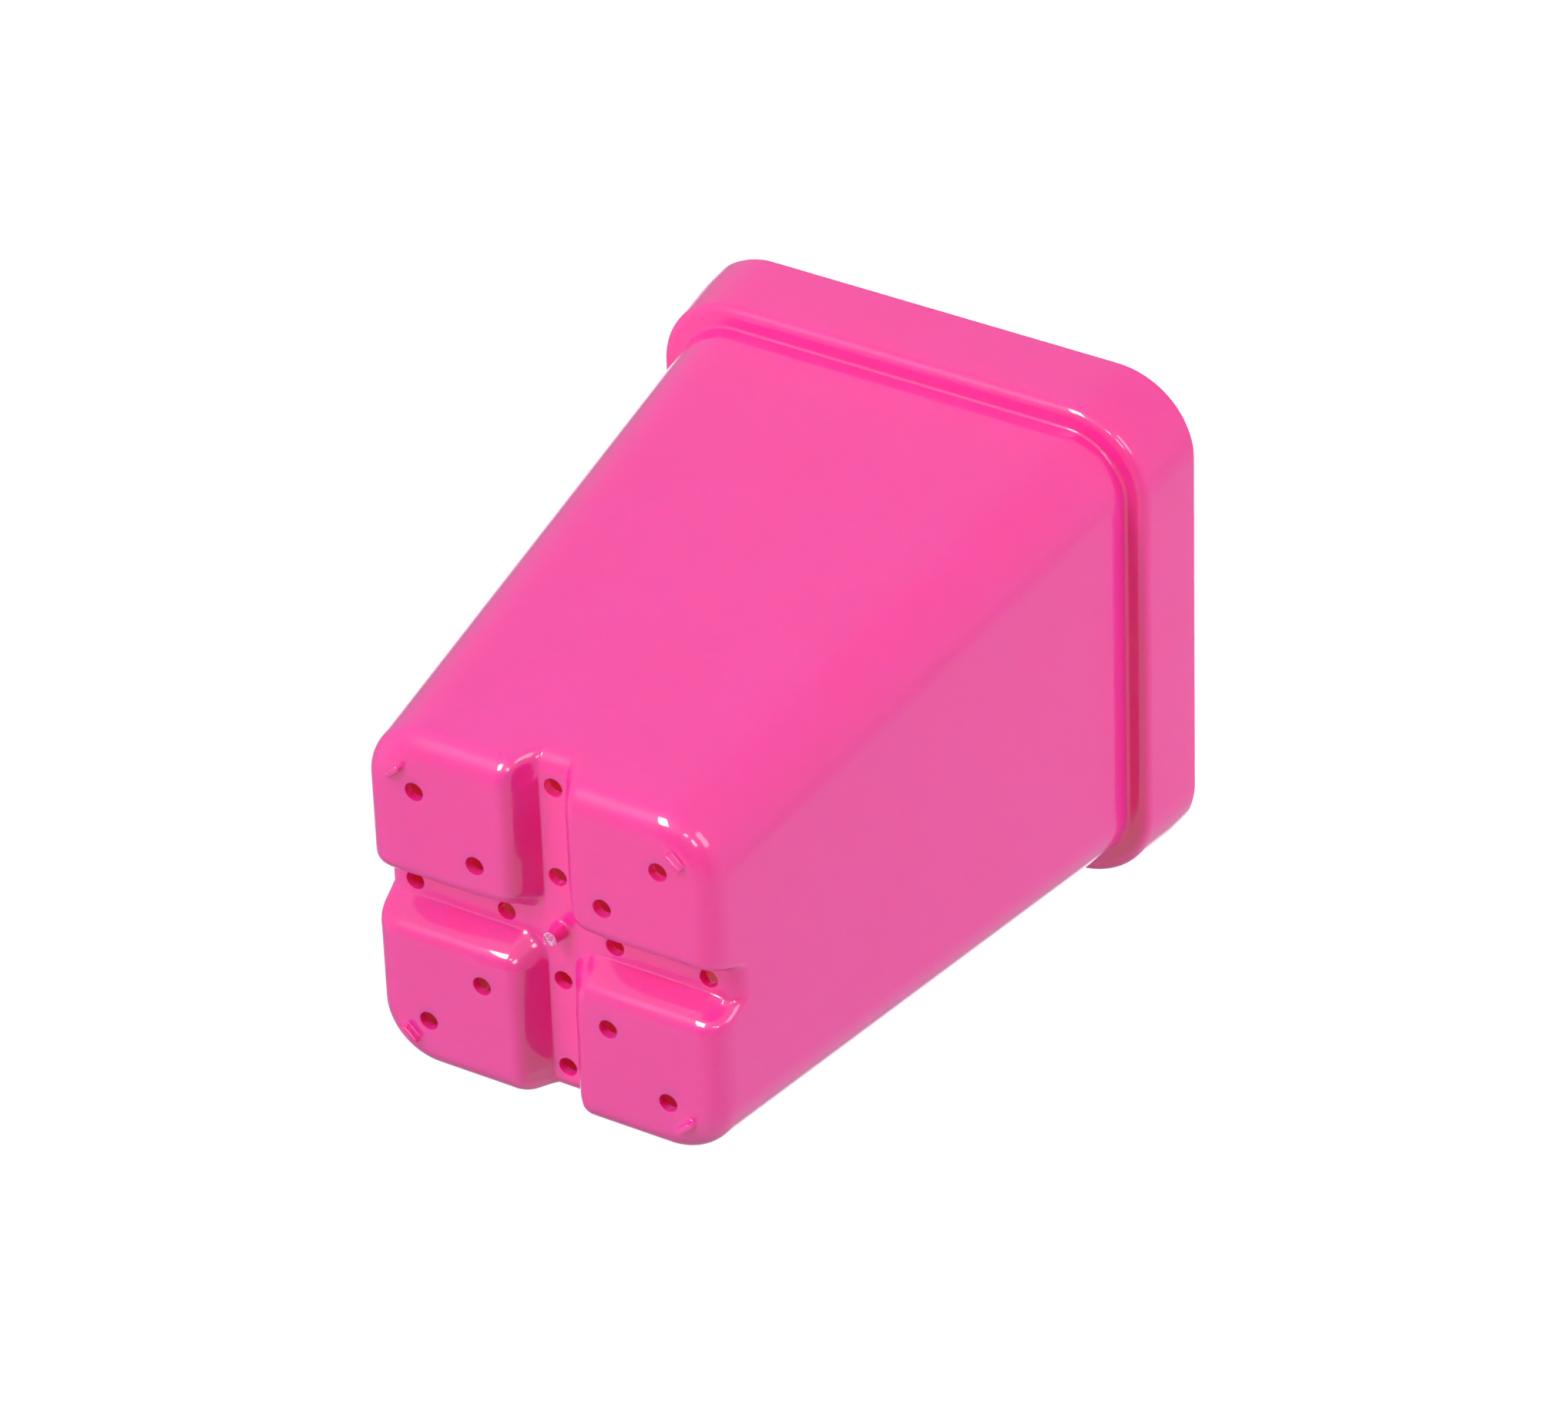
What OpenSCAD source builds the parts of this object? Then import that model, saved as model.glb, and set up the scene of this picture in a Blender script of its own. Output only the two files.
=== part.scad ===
// Square seed starting pot, moulded in one piece: a tapered square body with round corners,
// a stepped-out collar round the mouth, and a base of four feet parted by a cross of channels.
// Millimetres, +Z up, standing on its four corner ribs at z = 0, centred on the Z axis.

/* [Pot] */
// Height from the ground to the top edge
pot_h = 88.2; // [70:0.1:120]
// Width between opposite side walls at the level of the feet's faces
base_w = 43.9; // [40:0.1:50]
// Width between opposite side walls just under the collar
neck_w = 57.3; // [54:0.1:64]
// Radius of the body's four upright corners
corner_r = 7.45; // [6.5:0.05:9]
// Thickness of the side walls and the collar
wall = 1; // [0.8:0.05:1.2]
// Thickness of the base
base_t = 1.1; // [0.9:0.05:1.5]
// Radius where the side walls turn into the feet's faces
base_edge_r = 3.2; // [2.6:0.1:3.6]

/* [Collar] */
// Width across the top edge
rim_w = 63.5; // [62:0.1:72]
// Width across the collar just above its lower edge
collar_w = 62.6; // [61:0.1:71]
// Height of the collar, from its underside to the top edge
collar_h = 10.3; // [8:0.1:16]
// Radius of the collar's four upright corners at the top edge
rim_corner_r = 9.6; // [8.5:0.1:12]
// Radius of the collar's four upright corners at its lower edge
collar_corner_r = 10; // [8.5:0.1:12]
// Radius of the crease between the body and the collar's flat underside
under_r = 0.4; // [0.2:0.05:1.2]
// Radius of the collar's lower edge
collar_edge_r = 1.3; // [1.1:0.05:1.35]
// Radius of the top edge, inside and outside
top_edge_r = 0.3; // [0.2:0.05:0.4]

/* [Feet] */
// Width of the flat floor of the cross channels
channel_w = 3.45; // [3:0.05:4]
// Width of the cross channels between the flats of the feet's faces
channel_open_w = 10.2; // [9.4:0.1:11]
// Depth of the cross channels
channel_d = 3.9; // [3:0.1:4.5]
// Radius of the feet's edges along the channels
foot_edge_r = 2; // [1.6:0.1:2.2]
// Radius of each foot's inner corner, measured at the channel floor
foot_corner_r = 3.3; // [2.5:0.1:3.8]
// Radius of each foot's inner corner, measured at the foot's face
foot_face_corner_r = 2.2; // [1.6:0.1:3]
// Radius where a channel's floor turns up into the side wall
mouth_r = 2.5; // [2.2:0.1:3.2]

/* [Drain holes] */
// Diameter of the drain holes
hole_d = 2.3; // [1.6:0.1:2.6]
// Distance of a foot's outer hole from both centre planes
foot_hole_far = 15.25; // [14:0.05:15.5]
// Distance of a foot's inner hole from both centre planes
foot_hole_near = 8; // [7.5:0.05:9]
// Distance of a channel's outer hole from the centre
channel_hole_far = 18.55; // [16:0.05:18.75]
// Distance of a channel's inner hole from the centre
channel_hole_near = 6.85; // [5:0.05:8]

/* [Corner ribs and gate stub] */
// Length of the rib under each foot
rib_l = 2.55; // [2:0.05:3]
// Width of the ribs at the foot's face
rib_w = 0.95; // [0.8:0.05:1.1]
// Width of the ribs' flat crests
rib_crest_w = 0.15; // [0.1:0.05:0.3]
// Radius on both sides of the ribs' crests
rib_crest_r = 0.3; // [0.2:0.05:0.4]
// Height of the ribs, which the pot stands on
rib_h = 0.95; // [0.6:0.05:1.2]
// Distance of a rib's middle from both centre planes
rib_at = 17.5; // [16.8:0.1:17.6]
// Length of the gate stub at the middle of the base
stub_l = 2.15; // [1:0.05:2.5]
// Diameter of the stub's broken end
stub_end_d = 1.6; // [1.2:0.1:2]
// Diameter of the stub at the channel floor
stub_foot_d = 2.2; // [2:0.1:2.8]
// Radius of the fillet round the stub's root
stub_root_r = 0.4; // [0.2:0.05:0.6]

/* [Hidden] */

// Levels of the feet's faces, the channel floor, the collar's underside and the base's upper face
face_z = rib_h;
channel_z = face_z + channel_d;
collar_z = pot_h - collar_h;
draft = atan((neck_w - base_w) / 2 / (collar_z - face_z));
collar_draft = atan((rim_w - collar_w) / 2 / collar_h);

// Steps of each rounding
outer_toe_steps = 5;
inner_toe_steps = 4;
hollow_steps = 3;
outer_edge_steps = 3;
inner_edge_steps = 2;
lip_steps = 2;
crest_steps = 3;
root_steps = 3;
corner_steps = 4;
groove_steps = 4;
// Grid lines from the channel's middle to the foot's flat, to the round corner and to the outline
groove_lines = groove_steps + 3;
flat_lines = groove_lines + 2;
all_lines = flat_lines + corner_steps;
// Facets round the drain holes, the ribs' ends and the gate stub
hole_facets = 32;
rib_facets = 20;
stub_facets = 32;
// How fast the upright corners grow over the width of the collar's underside
hollow_growth = 0.9;
// Growth of a foot's inner corner radius for each millimetre from the channel floor's edge
foot_corner_growth = (foot_face_corner_r - foot_corner_r) / (channel_open_w - channel_w) * 2;
// Height above the channels' mouths at which the side walls are plain
plain_gap = 2;
// How far the drain holes are drilled past both faces of the base
drill_gap = 1;

// Half the width of the body over its side walls at height z, with skin taken off the outside
function body_half(z, skin) = base_w / 2 + (z - face_z) * tan(draft) - skin / cos(draft);

// Channel section: lean of its walls, so that they meet the floor's edge and the edge rounding
function channel_lean(floor_half, edge_r) =
    let(run = channel_open_w / 2 - floor_half, rise = channel_d - edge_r)
    acos(edge_r / norm([run, rise])) - atan(rise / run);

// Height above the foot's face at distance d inside the channel floor's edge
function channel_rise(d, floor_half, edge_r) =
    let(
        run = channel_open_w / 2 - floor_half,
        lean = channel_lean(floor_half, edge_r),
        touch = run - edge_r * cos(lean)
    )
    d <= 0 ? channel_d
    : d < touch ? channel_d - d / tan(lean)
    : d < run ? edge_r - sqrt(edge_r ^ 2 - (run - d) ^ 2)
    : 0;

// Distance of a point inside a foot's outline at the channel floor. The contour through the point has
// a round corner, whose radius changes with that distance, so the distance is a quadratic's root.
function foot_inset(x, y, floor_half) =
    let(
        near = min(abs(x), abs(y)),
        far = max(abs(x), abs(y)),
        straight = near - floor_half,
        floor_r = foot_corner_r - floor_half + channel_w / 2
    )
    far - near > floor_r + foot_corner_growth * straight ? straight
    : let(
        u = floor_half + floor_r - near,
        v = floor_half + floor_r - far,
        a = 2 * (1 + foot_corner_growth) ^ 2 - foot_corner_growth ^ 2,
        b = (1 + foot_corner_growth) * (u + v) - floor_r * foot_corner_growth,
        c = floor_r ^ 2 - u ^ 2 - v ^ 2
    )
    c / (b + sqrt(b ^ 2 + a * c));

// Distances of the grid lines that follow the channel's section
function groove_marks(floor_half, edge_r) =
    let(
        open_half = channel_open_w / 2,
        turn = 90 - channel_lean(floor_half, edge_r),
        touch = open_half - edge_r * sin(turn)
    )
    [
        0,
        floor_half,
        (floor_half + touch) / 2,
        for (i = [0:groove_steps]) open_half - edge_r * sin(turn * (1 - i / groove_steps))
    ];

// Distance of grid line i from the centre plane on an outline of half width w and corner radius r
function mark(i, w, r, marks) =
    let(last = marks[groove_lines])
    abs(i) <= groove_lines ? sign(i) * marks[abs(i)]
    : sign(i) * (last + (w - r - last) * (abs(i) - groove_lines) / (flat_lines - groove_lines));

// Point of grid lines i and j inside an outline of half width w and corner radius r
function grid_point(i, j, w, r, marks) =
    let(
        u = (abs(i) - flat_lines) / corner_steps,
        v = (abs(j) - flat_lines) / corner_steps,
        out = max(u, v),
        angle = u >= v ? 45 * v / u : 90 - 45 * u / v
    )
    u > 0 && v > 0 ? [
        sign(i) * (w - r + r * out * cos(angle)),
        sign(j) * (w - r + r * out * sin(angle))
    ]
    : [
        u > 0 ? sign(i) * (w - r + r * u) : mark(i, w, r, marks),
        v > 0 ? sign(j) * (w - r + r * v) : mark(j, w, r, marks)
    ];

// Underside or upper face of the base, as rows of points
function base_grid(w, r, z, floor_half, edge_r) =
    let(marks = groove_marks(floor_half, edge_r))
    [
        for (j = [-all_lines:all_lines], i = [-all_lines:all_lines])
            let(
                p = grid_point(i, j, w, r, marks),
                rise = channel_rise(foot_inset(p.x, p.y, floor_half), floor_half, edge_r)
            )
            [p.x, p.y, z + rise]
    ];

// At a mouth, share of the channel's rounding against the foot's, for a share of its depth.
// It eases into the channel's floor, so no crease runs on up the side wall.
function mouth_share(depth) = depth * (1 + depth * (1 - depth));

// One ring round the pot. step holds its half width, corner radius and height over the feet,
// then its half width and height over the channels, and the marks give the channel's section.
function ring(step, marks, floor_half, edge_r) =
    let(
        side = [
            for (j = [-all_lines:all_lines - 1])
                let(
                    p = grid_point(all_lines, j, step[0], step[1], marks),
                    rise = channel_rise(abs(p.y) - floor_half, floor_half, edge_r),
                    share = abs(j) < groove_lines ? mouth_share(rise / channel_d) : 0
                )
                [
                    p.x + share * (step[3] - step[0]),
                    p.y,
                    step[2] + share * (step[4] - step[2])
                ]
        ]
    )
    [
        for (turn = [0:90:270], p = side)
            [p.x * cos(turn) - p.y * sin(turn), p.x * sin(turn) + p.y * cos(turn), p.z]
    ];

// Rounding between a level face at height z and the side walls
function toe_rings(z_foot, r_foot, z_channel, r_channel, skin, steps) =
    let(
        foot_c = body_half(z_foot + r_foot, skin) - r_foot / cos(draft),
        channel_c = body_half(z_channel + r_channel, skin) - r_channel / cos(draft),
        tip = foot_c + r_foot * cos(draft)
    )
    [
        for (i = [0:steps])
            let(
                a = -90 + (90 - draft) * i / steps,
                w = foot_c + r_foot * cos(a)
            )
            [
                w,
                corner_r - skin - (tip - w),
                z_foot + r_foot * (1 + sin(a)),
                channel_c + r_channel * cos(a),
                z_channel + r_channel * (1 + sin(a))
            ]
    ];

// Plain ring step, the same over feet and channels
function plain(w, r, z) = [w, r, z, w, z];

// Section of the collar from the body to the top edge, with skin taken off the outside
function collar_rings(skin, steps) =
    let(
        hollow_r = under_r + skin,
        edge_r = collar_edge_r - skin,
        under_c = body_half(collar_z - under_r, 0) + under_r / cos(draft),
        edge_c = collar_w / 2 - collar_edge_r
    )
    [
        for (i = [0:hollow_steps])
            let(
                a = 180 - draft - (90 - draft) * i / hollow_steps,
                w = under_c + hollow_r * cos(a)
            )
            plain(
                w,
                corner_r - skin + (w - body_half(collar_z, skin)) * hollow_growth,
                collar_z - under_r + hollow_r * sin(a)
            ),
        for (i = [0:steps])
            let(
                a = -90 + (90 - collar_draft) * i / steps,
                w = edge_c + edge_r * cos(a)
            )
            plain(
                w,
                collar_corner_r - (collar_w / 2 - w),
                collar_z + collar_edge_r + edge_r * sin(a)
            )
    ];

// Rounding of the top edge. It leans back by side: 1 for the outer skin, -1 for the inner one
function lip_rings(half, r, side) =
    [
        for (i = [0:lip_steps])
            let(
                a = 90 * i / lip_steps,
                back = side * top_edge_r * (1 - cos(a))
            )
            plain(half - back, r - back, pot_h - top_edge_r * (1 - sin(a)))
    ];

plain_z = channel_z + mouth_r + plain_gap;
// Outer skin from the base to the top edge
outer_steps = [
    each toe_rings(face_z, base_edge_r, channel_z, mouth_r, 0, outer_toe_steps),
    plain(body_half(plain_z, 0), corner_r, plain_z),
    each collar_rings(0, outer_edge_steps),
    each lip_rings(rim_w / 2, rim_corner_r, 1)
];
// Inner skin from the base to the top edge
inner_steps = [
    each toe_rings(
        face_z + base_t,
        base_edge_r - wall,
        channel_z + base_t,
        mouth_r - wall,
        wall,
        inner_toe_steps
    ),
    plain(body_half(plain_z, wall), corner_r - wall, plain_z),
    each collar_rings(wall, inner_edge_steps),
    each lip_rings(rim_w / 2 - wall, rim_corner_r - wall, -1)
];

// Channel walls of the inner skin stand a wall's thickness inside the outer ones
outer_lean = channel_lean(channel_w / 2, foot_edge_r);
inner_floor_half = channel_w / 2 + wall * (1 - sin(outer_lean)) / cos(outer_lean);
inner_edge_r = foot_edge_r - wall;

// Closed skin of the pot: outer base, outer rings, inner rings and inner base
module moulded_shell() {
    outer_marks = groove_marks(channel_w / 2, foot_edge_r);
    inner_marks = groove_marks(inner_floor_half, inner_edge_r);
    outer_base = base_grid(
        outer_steps[0][0],
        outer_steps[0][1],
        face_z,
        channel_w / 2,
        foot_edge_r
    );
    inner_base = base_grid(
        inner_steps[0][0],
        inner_steps[0][1],
        face_z + base_t,
        inner_floor_half,
        inner_edge_r
    );
    rings = [
        for (i = [1:len(outer_steps) - 1])
            ring(outer_steps[i], outer_marks, channel_w / 2, foot_edge_r),
        for (i = [len(inner_steps) - 1:-1:1])
            ring(inner_steps[i], inner_marks, inner_floor_half, inner_edge_r)
    ];
    row = 2 * all_lines + 1;
    loop = 8 * all_lines;
    grid = row * row;
    // Grid points along the outline, in the order of a ring's points
    outline = [
        for (j = [0:row - 2]) j * row + row - 1,
        for (i = [row - 1:-1:1]) (row - 1) * row + i,
        for (j = [row - 1:-1:1]) j * row,
        for (i = [0:row - 2]) i
    ];
    inner_start = grid + len(rings) * loop;
    // Each grid cell is cut across the line from the pot's centre
    outer_faces = [
        for (j = [0:row - 2], i = [0:row - 2])
            let(
                a = j * row + i,
                same = (i < all_lines) == (j < all_lines)
            )
            each same ? [[a, a + 1, a + row], [a + 1, a + row + 1, a + row]]
            : [[a, a + 1, a + row + 1], [a, a + row + 1, a + row]]
    ];
    inner_faces = [for (f = outer_faces) [for (k = [2:-1:0]) f[k] + inner_start]];
    loops = [
        outline,
        for (k = [0:len(rings) - 1]) [for (i = [0:loop - 1]) grid + k * loop + i],
        [for (k = outline) k + inner_start]
    ];
    ring_faces = [
        for (k = [0:len(loops) - 2], i = [0:loop - 1])
            let(
                next = (i + 1) % loop,
                a = loops[k][i],
                b = loops[k][next],
                c = loops[k + 1][next],
                d = loops[k + 1][i]
            )
            each i % (2 * all_lines) < all_lines ? [[a, d, c], [a, c, b]]
            : [[a, d, b], [d, c, b]]
    ];
    polyhedron(
        points = [each outer_base, for (r = rings) each r, each inner_base],
        faces = [each outer_faces, each ring_faces, each inner_faces],
        convexity = 8
    );
}

// Turned end of a rib, with leaning sides and a round crest on the ground
module rib_end() {
    rotate_extrude($fn = rib_facets)
        polygon([
            [0, 0],
            for (i = [0:crest_steps])
                let(a = 90 * i / crest_steps)
                [rib_crest_w / 2 + rib_crest_r * sin(a), rib_crest_r * (1 - cos(a))],
            [rib_w / 2, rib_h],
            [rib_w / 2, rib_h + base_t / 2],
            [0, rib_h + base_t / 2]
        ]);
}

// Rib near a foot's outer corner, square to the foot's diagonal
module corner_rib() {
    translate([rib_at, rib_at, 0])
        rotate([0, 0, 45])
            hull()
                for (s = [-1, 1])
                    translate([0, s * (rib_l - rib_w) / 2, 0])
                        rib_end();
}

// Tapered stub left where the gate broke off, with a fillet round its root
module gate_stub() {
    lean = atan((stub_foot_d - stub_end_d) / 2 / stub_l);
    root_x = stub_foot_d / 2 + stub_root_r * (1 - sin(lean)) / cos(lean);
    end_z = channel_z - stub_l;
    rotate_extrude($fn = stub_facets)
        polygon([
            [0, end_z],
            [stub_end_d / 2, end_z],
            for (i = [0:root_steps])
                let(a = 180 - lean - (90 - lean) * i / root_steps)
                [root_x + stub_root_r * cos(a), channel_z - stub_root_r * (1 - sin(a))],
            [root_x, channel_z + base_t / 2],
            [0, channel_z + base_t / 2]
        ]);
}

// One drain hole through the base at x, y, under a floor at height z
module drain_hole(x, y, z) {
    translate([x, y, z - drill_gap])
        cylinder(h = base_t + 2 * drill_gap, d = hole_d, $fn = hole_facets);
}

module pot() {
    color([0.93, 0.16, 0.47])
        difference() {
            union() {
                moulded_shell();
                for (turn = [0:90:270])
                    rotate([0, 0, turn])
                        corner_rib();
                gate_stub();
            }
            for (turn = [0:90:270])
                rotate([0, 0, turn]) {
                    drain_hole(foot_hole_far, foot_hole_far, face_z);
                    drain_hole(foot_hole_near, foot_hole_near, face_z);
                    drain_hole(channel_hole_far, 0, channel_z);
                    drain_hole(channel_hole_near, 0, channel_z);
                }
        }
}

pot();
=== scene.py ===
# %% [markdown]
# # A square seed starting pot, seen from below
#
# The real pot is one thin injection moulding of glossy pink plastic. Its shape is all in the
# skin: four leaning walls, a stepped collar round the mouth, and a base of four feet parted by a
# cross of channels. The frame below is the measured solid of the same pot. This file makes a
# finer skin from the same sizes, adds the soft edges that a mould leaves, and gives it a plastic
# finish, light and a camera.

# %% Load the frame
import math

import bpy
import bmesh
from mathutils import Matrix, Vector, noise


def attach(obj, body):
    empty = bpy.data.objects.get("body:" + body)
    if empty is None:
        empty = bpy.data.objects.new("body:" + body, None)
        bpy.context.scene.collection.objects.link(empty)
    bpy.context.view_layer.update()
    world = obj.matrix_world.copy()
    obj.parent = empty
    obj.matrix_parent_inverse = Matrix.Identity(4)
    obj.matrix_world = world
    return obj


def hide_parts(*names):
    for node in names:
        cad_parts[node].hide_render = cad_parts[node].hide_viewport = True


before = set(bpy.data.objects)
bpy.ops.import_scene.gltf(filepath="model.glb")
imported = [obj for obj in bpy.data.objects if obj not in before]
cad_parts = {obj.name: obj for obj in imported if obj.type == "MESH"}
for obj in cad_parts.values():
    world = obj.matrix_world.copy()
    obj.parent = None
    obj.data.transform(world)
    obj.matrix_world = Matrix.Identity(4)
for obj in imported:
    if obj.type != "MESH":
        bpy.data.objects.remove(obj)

scene = bpy.context.scene
MM = 0.001
QUARTER = math.pi / 2
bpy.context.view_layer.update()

# %% [markdown]
# ## Sizes
#
# All sizes are in millimetres, as a mould maker would note them. The pot stands on small ribs at
# height 0, so the feet's faces are a rib's height above the ground. Every later piece takes its
# place from these values.

# %% Sizes of the pot
pot_h = 88.2
base_w = 43.9
neck_w = 57.3
corner_r = 7.45
wall = 1.0
base_t = 1.1
base_edge_r = 3.2

rim_w = 63.5
collar_w = 62.6
collar_h = 10.3
rim_corner_r = 9.6
collar_corner_r = 10.0
under_r = 0.4
collar_edge_r = 1.3
top_edge_r = 0.3

channel_w = 3.45
channel_open_w = 10.2
channel_d = 3.9
foot_edge_r = 2.0
foot_corner_r = 3.3
foot_face_corner_r = 2.2
mouth_r = 2.5

rib_h = 0.95
face_z = rib_h
channel_z = face_z + channel_d
collar_z = pot_h - collar_h
draft = math.atan((neck_w - base_w) / 2 / (collar_z - face_z))
collar_draft = math.atan((rim_w - collar_w) / 2 / collar_h)
print("side walls lean by", round(math.degrees(draft), 2), "degrees")

# %% [markdown]
# ## The channel's section
#
# Cut across, a channel has a flat floor, a small crease radius, a leaning wall and a rounded edge
# that runs out into the foot's face. One list of points describes it, as distance from the
# channel's middle and height over the foot's face. The same list gives the grid lines of the
# mesh, so that each rounding gets its own rows of faces.

# %% Section of a channel
crease_r, inner_crease_r = 0.3, 0.5
crease_steps, foot_edge_steps = 4, 10
slope_shares = (0.25, 0.5, 0.75)


def arc(x, y, r, start, end, count):
    """Points on an arc about x, y from one angle to another."""
    turns = [start + (end - start) * i / count for i in range(count + 1)]
    return [(x + r * math.cos(a), y + r * math.sin(a)) for a in turns]


def channel_section(floor_half, crease, edge):
    """Points from a channel's middle to the foot's face, for the radii of its crease and of the
    foot's edge, and how far its wall leans from upright."""
    open_half = channel_open_w / 2
    run, rise = open_half - floor_half, channel_d - edge
    lean = math.acos(edge / math.hypot(run, rise)) - math.atan2(rise, run)
    back = crease * math.tan((QUARTER - lean) / 2)
    low_arc = arc(floor_half - back, channel_d - crease, crease, QUARTER, lean, crease_steps)
    high_arc = arc(open_half, edge, -edge, lean, QUARTER, foot_edge_steps)
    (x0, h0), (x1, h1) = low_arc[-1], high_arc[0]
    slope = [(x0 + (x1 - x0) * t, h0 + (h1 - h0) * t) for t in slope_shares]
    floor = [(0.0, channel_d), (floor_half * 0.5, channel_d)]
    return floor + low_arc + slope + high_arc, lean


def height_at(section, distance):
    """Height over the foot's face at a distance from the channel's middle."""
    for (x0, h0), (x1, h1) in zip(section, section[1:]):
        if distance <= x1:
            return h0 + (h1 - h0) * max(distance - x0, 0) / max(x1 - x0, 1e-9)
    return 0.0


outer_section, channel_lean = channel_section(channel_w / 2, crease_r, foot_edge_r)
inner_floor_half = channel_w / 2 + wall * (1 - math.sin(channel_lean)) / math.cos(channel_lean)
inner_section, _ = channel_section(inner_floor_half, inner_crease_r, foot_edge_r - wall)
print("channel walls lean by", round(math.degrees(channel_lean), 1), "degrees")

# %% [markdown]
# ## A square grid with round corners
#
# The base could be cut from a block, but then the mesh would be triangles without order. A grid
# of lines is kept instead: the lines follow the channel's section near the middle and fan out
# round the body's corner radius at the outline. Its border has as many points as each ring of the
# walls, so base and walls join without a seam.

# %% Grid lines
foot_lines = len(outer_section) - 1
face_steps = 3
flat_lines = foot_lines + face_steps
corner_steps = 12
all_lines = flat_lines + corner_steps
grid_lines = range(-all_lines, all_lines + 1)


def line_at(i, w, r, section):
    """Place of grid line i, for an outline of half width w and corner radius r."""
    last = section[foot_lines][0]
    if abs(i) <= foot_lines:
        return math.copysign(section[abs(i)][0], i)
    share = (abs(i) - foot_lines) / face_steps
    return math.copysign(last + (w - r - last) * share, i)


def plan_point(i, j, w, r, section):
    """Place of grid point i, j seen from above."""
    u = (abs(i) - flat_lines) / corner_steps
    v = (abs(j) - flat_lines) / corner_steps
    if u > 0 and v > 0:
        out = max(u, v)
        turn = QUARTER / 2 * (v / u if u >= v else 2 - u / v)
        x = w - r + r * out * math.cos(turn)
        y = w - r + r * out * math.sin(turn)
        return math.copysign(x, i), math.copysign(y, j)
    x = math.copysign(w - r + r * u, i) if u > 0 else line_at(i, w, r, section)
    y = math.copysign(w - r + r * v, j) if v > 0 else line_at(j, w, r, section)
    return x, y


print("grid of", len(grid_lines), "by", len(grid_lines), "lines")

# %% [markdown]
# ## Heights of the base
#
# On the real pot a foot's inner corner is rounded too, and it turns tighter at the foot's face
# than at the channel's floor. So the height of a grid point comes from how far it lies inside
# that rounded outline, and not just from the nearer channel.

# %% Feet and channels
corner_growth = (foot_face_corner_r - foot_corner_r) / (channel_open_w - channel_w) * 2


def foot_inset(x, y, floor_half):
    """How far a point lies inside a foot's outline at the channel's floor. In the rounded corner
    this solves a quadratic, because the corner's radius changes with the inset."""
    near, far = sorted((abs(x), abs(y)))
    straight = near - floor_half
    floor_r = foot_corner_r - floor_half + channel_w / 2
    if far - near > floor_r + corner_growth * straight:
        return straight
    u, v = floor_half + floor_r - near, floor_half + floor_r - far
    a = 2 * (1 + corner_growth) ** 2 - corner_growth ** 2
    b = (1 + corner_growth) * (u + v) - floor_r * corner_growth
    return (math.sqrt(b * b - a * (u * u + v * v - floor_r * floor_r)) - b) / a


def base_grid(w, r, z, floor_half, section):
    """All points of a base whose feet's faces are at height z, row by row."""
    points = []
    for j in grid_lines:
        for i in grid_lines:
            x, y = plan_point(i, j, w, r, section)
            over = height_at(section, floor_half + foot_inset(x, y, floor_half))
            points.append((x, y, z + over))
    return points


print("a foot's inner corner radius changes by", round(corner_growth, 2), "mm for each mm of inset")

# %% [markdown]
# ## From the feet to the mouth
#
# The walls are a stack of rings. Each rounding of the real pot is an arc of rings: the turn from
# the feet's faces into the walls, the hollow under the collar, the collar's lower edge and the
# thin top edge. The inner skin is the same stack set in by the wall's thickness, so the plastic
# has an even section everywhere, as a moulding must.
#
# A ring is noted as its half width, corner radius and height over the feet, then its half width
# and height over the channels. Above the channels' mouths the two are the same.

# %% One ring
# Cosine and sine of the turn to each side of the pot.
four_sides = ((1, 0), (0, 1), (-1, 0), (0, -1))
ring_size = 8 * all_lines


def mouth_share(depth):
    """Share of the channel's rounding at its mouth; it eases into the channel's floor."""
    return depth * (1 + depth * (1 - depth))


def ring_points(ring, section):
    """The points of one ring round the pot, side by side."""
    w, r, z, channel_half, channel_level = ring
    side = []
    for j in grid_lines[:-1]:
        x, y = plan_point(all_lines, j, w, r, section)
        share = 0
        if abs(j) < foot_lines:
            share = mouth_share(height_at(section, abs(y)) / channel_d)
        side.append((x + share * (channel_half - w), y, z + share * (channel_level - z)))
    return [(x * c - y * s, x * s + y * c, z) for c, s in four_sides for x, y, z in side]


def plain(w, r, z):
    """A ring that is the same over the feet and over the channels."""
    return (w, r, z, w, z)


print(ring_size, "points to a ring")

# %% Turn from the base into the walls
toe_steps = 14


def body_half(z, skin):
    """Half width of the body at height z, skin millimetres inside its outer face."""
    return base_w / 2 + (z - face_z) * math.tan(draft) - skin / math.cos(draft)


def toe_rings(skin, base_skin):
    """The rounding at the foot of the walls, and with it the one at the channels' mouths."""
    z_foot, r_foot = face_z + base_skin, base_edge_r - skin
    z_channel, r_channel = channel_z + base_skin, mouth_r - skin
    foot_c = body_half(z_foot + r_foot, skin) - r_foot / math.cos(draft)
    channel_c = body_half(z_channel + r_channel, skin) - r_channel / math.cos(draft)
    tip = foot_c + r_foot * math.cos(draft)
    rings = []
    for i in range(toe_steps + 1):
        a = -QUARTER + (QUARTER - draft) * i / toe_steps
        w = foot_c + r_foot * math.cos(a)
        rings.append((
            w,
            corner_r - skin - (tip - w),
            z_foot + r_foot * (1 + math.sin(a)),
            channel_c + r_channel * math.cos(a),
            z_channel + r_channel * (1 + math.sin(a)),
        ))
    return rings


print("half width where the outer walls start:", round(toe_rings(0, 0)[-1][0], 2), "mm")

# %% Collar, top edge and whole stack
collar_steps, top_steps = 8, 4
hollow_corner_growth = 0.9
wall_gaps = (0.6, 6, 20, 34, 48, 60)
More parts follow.
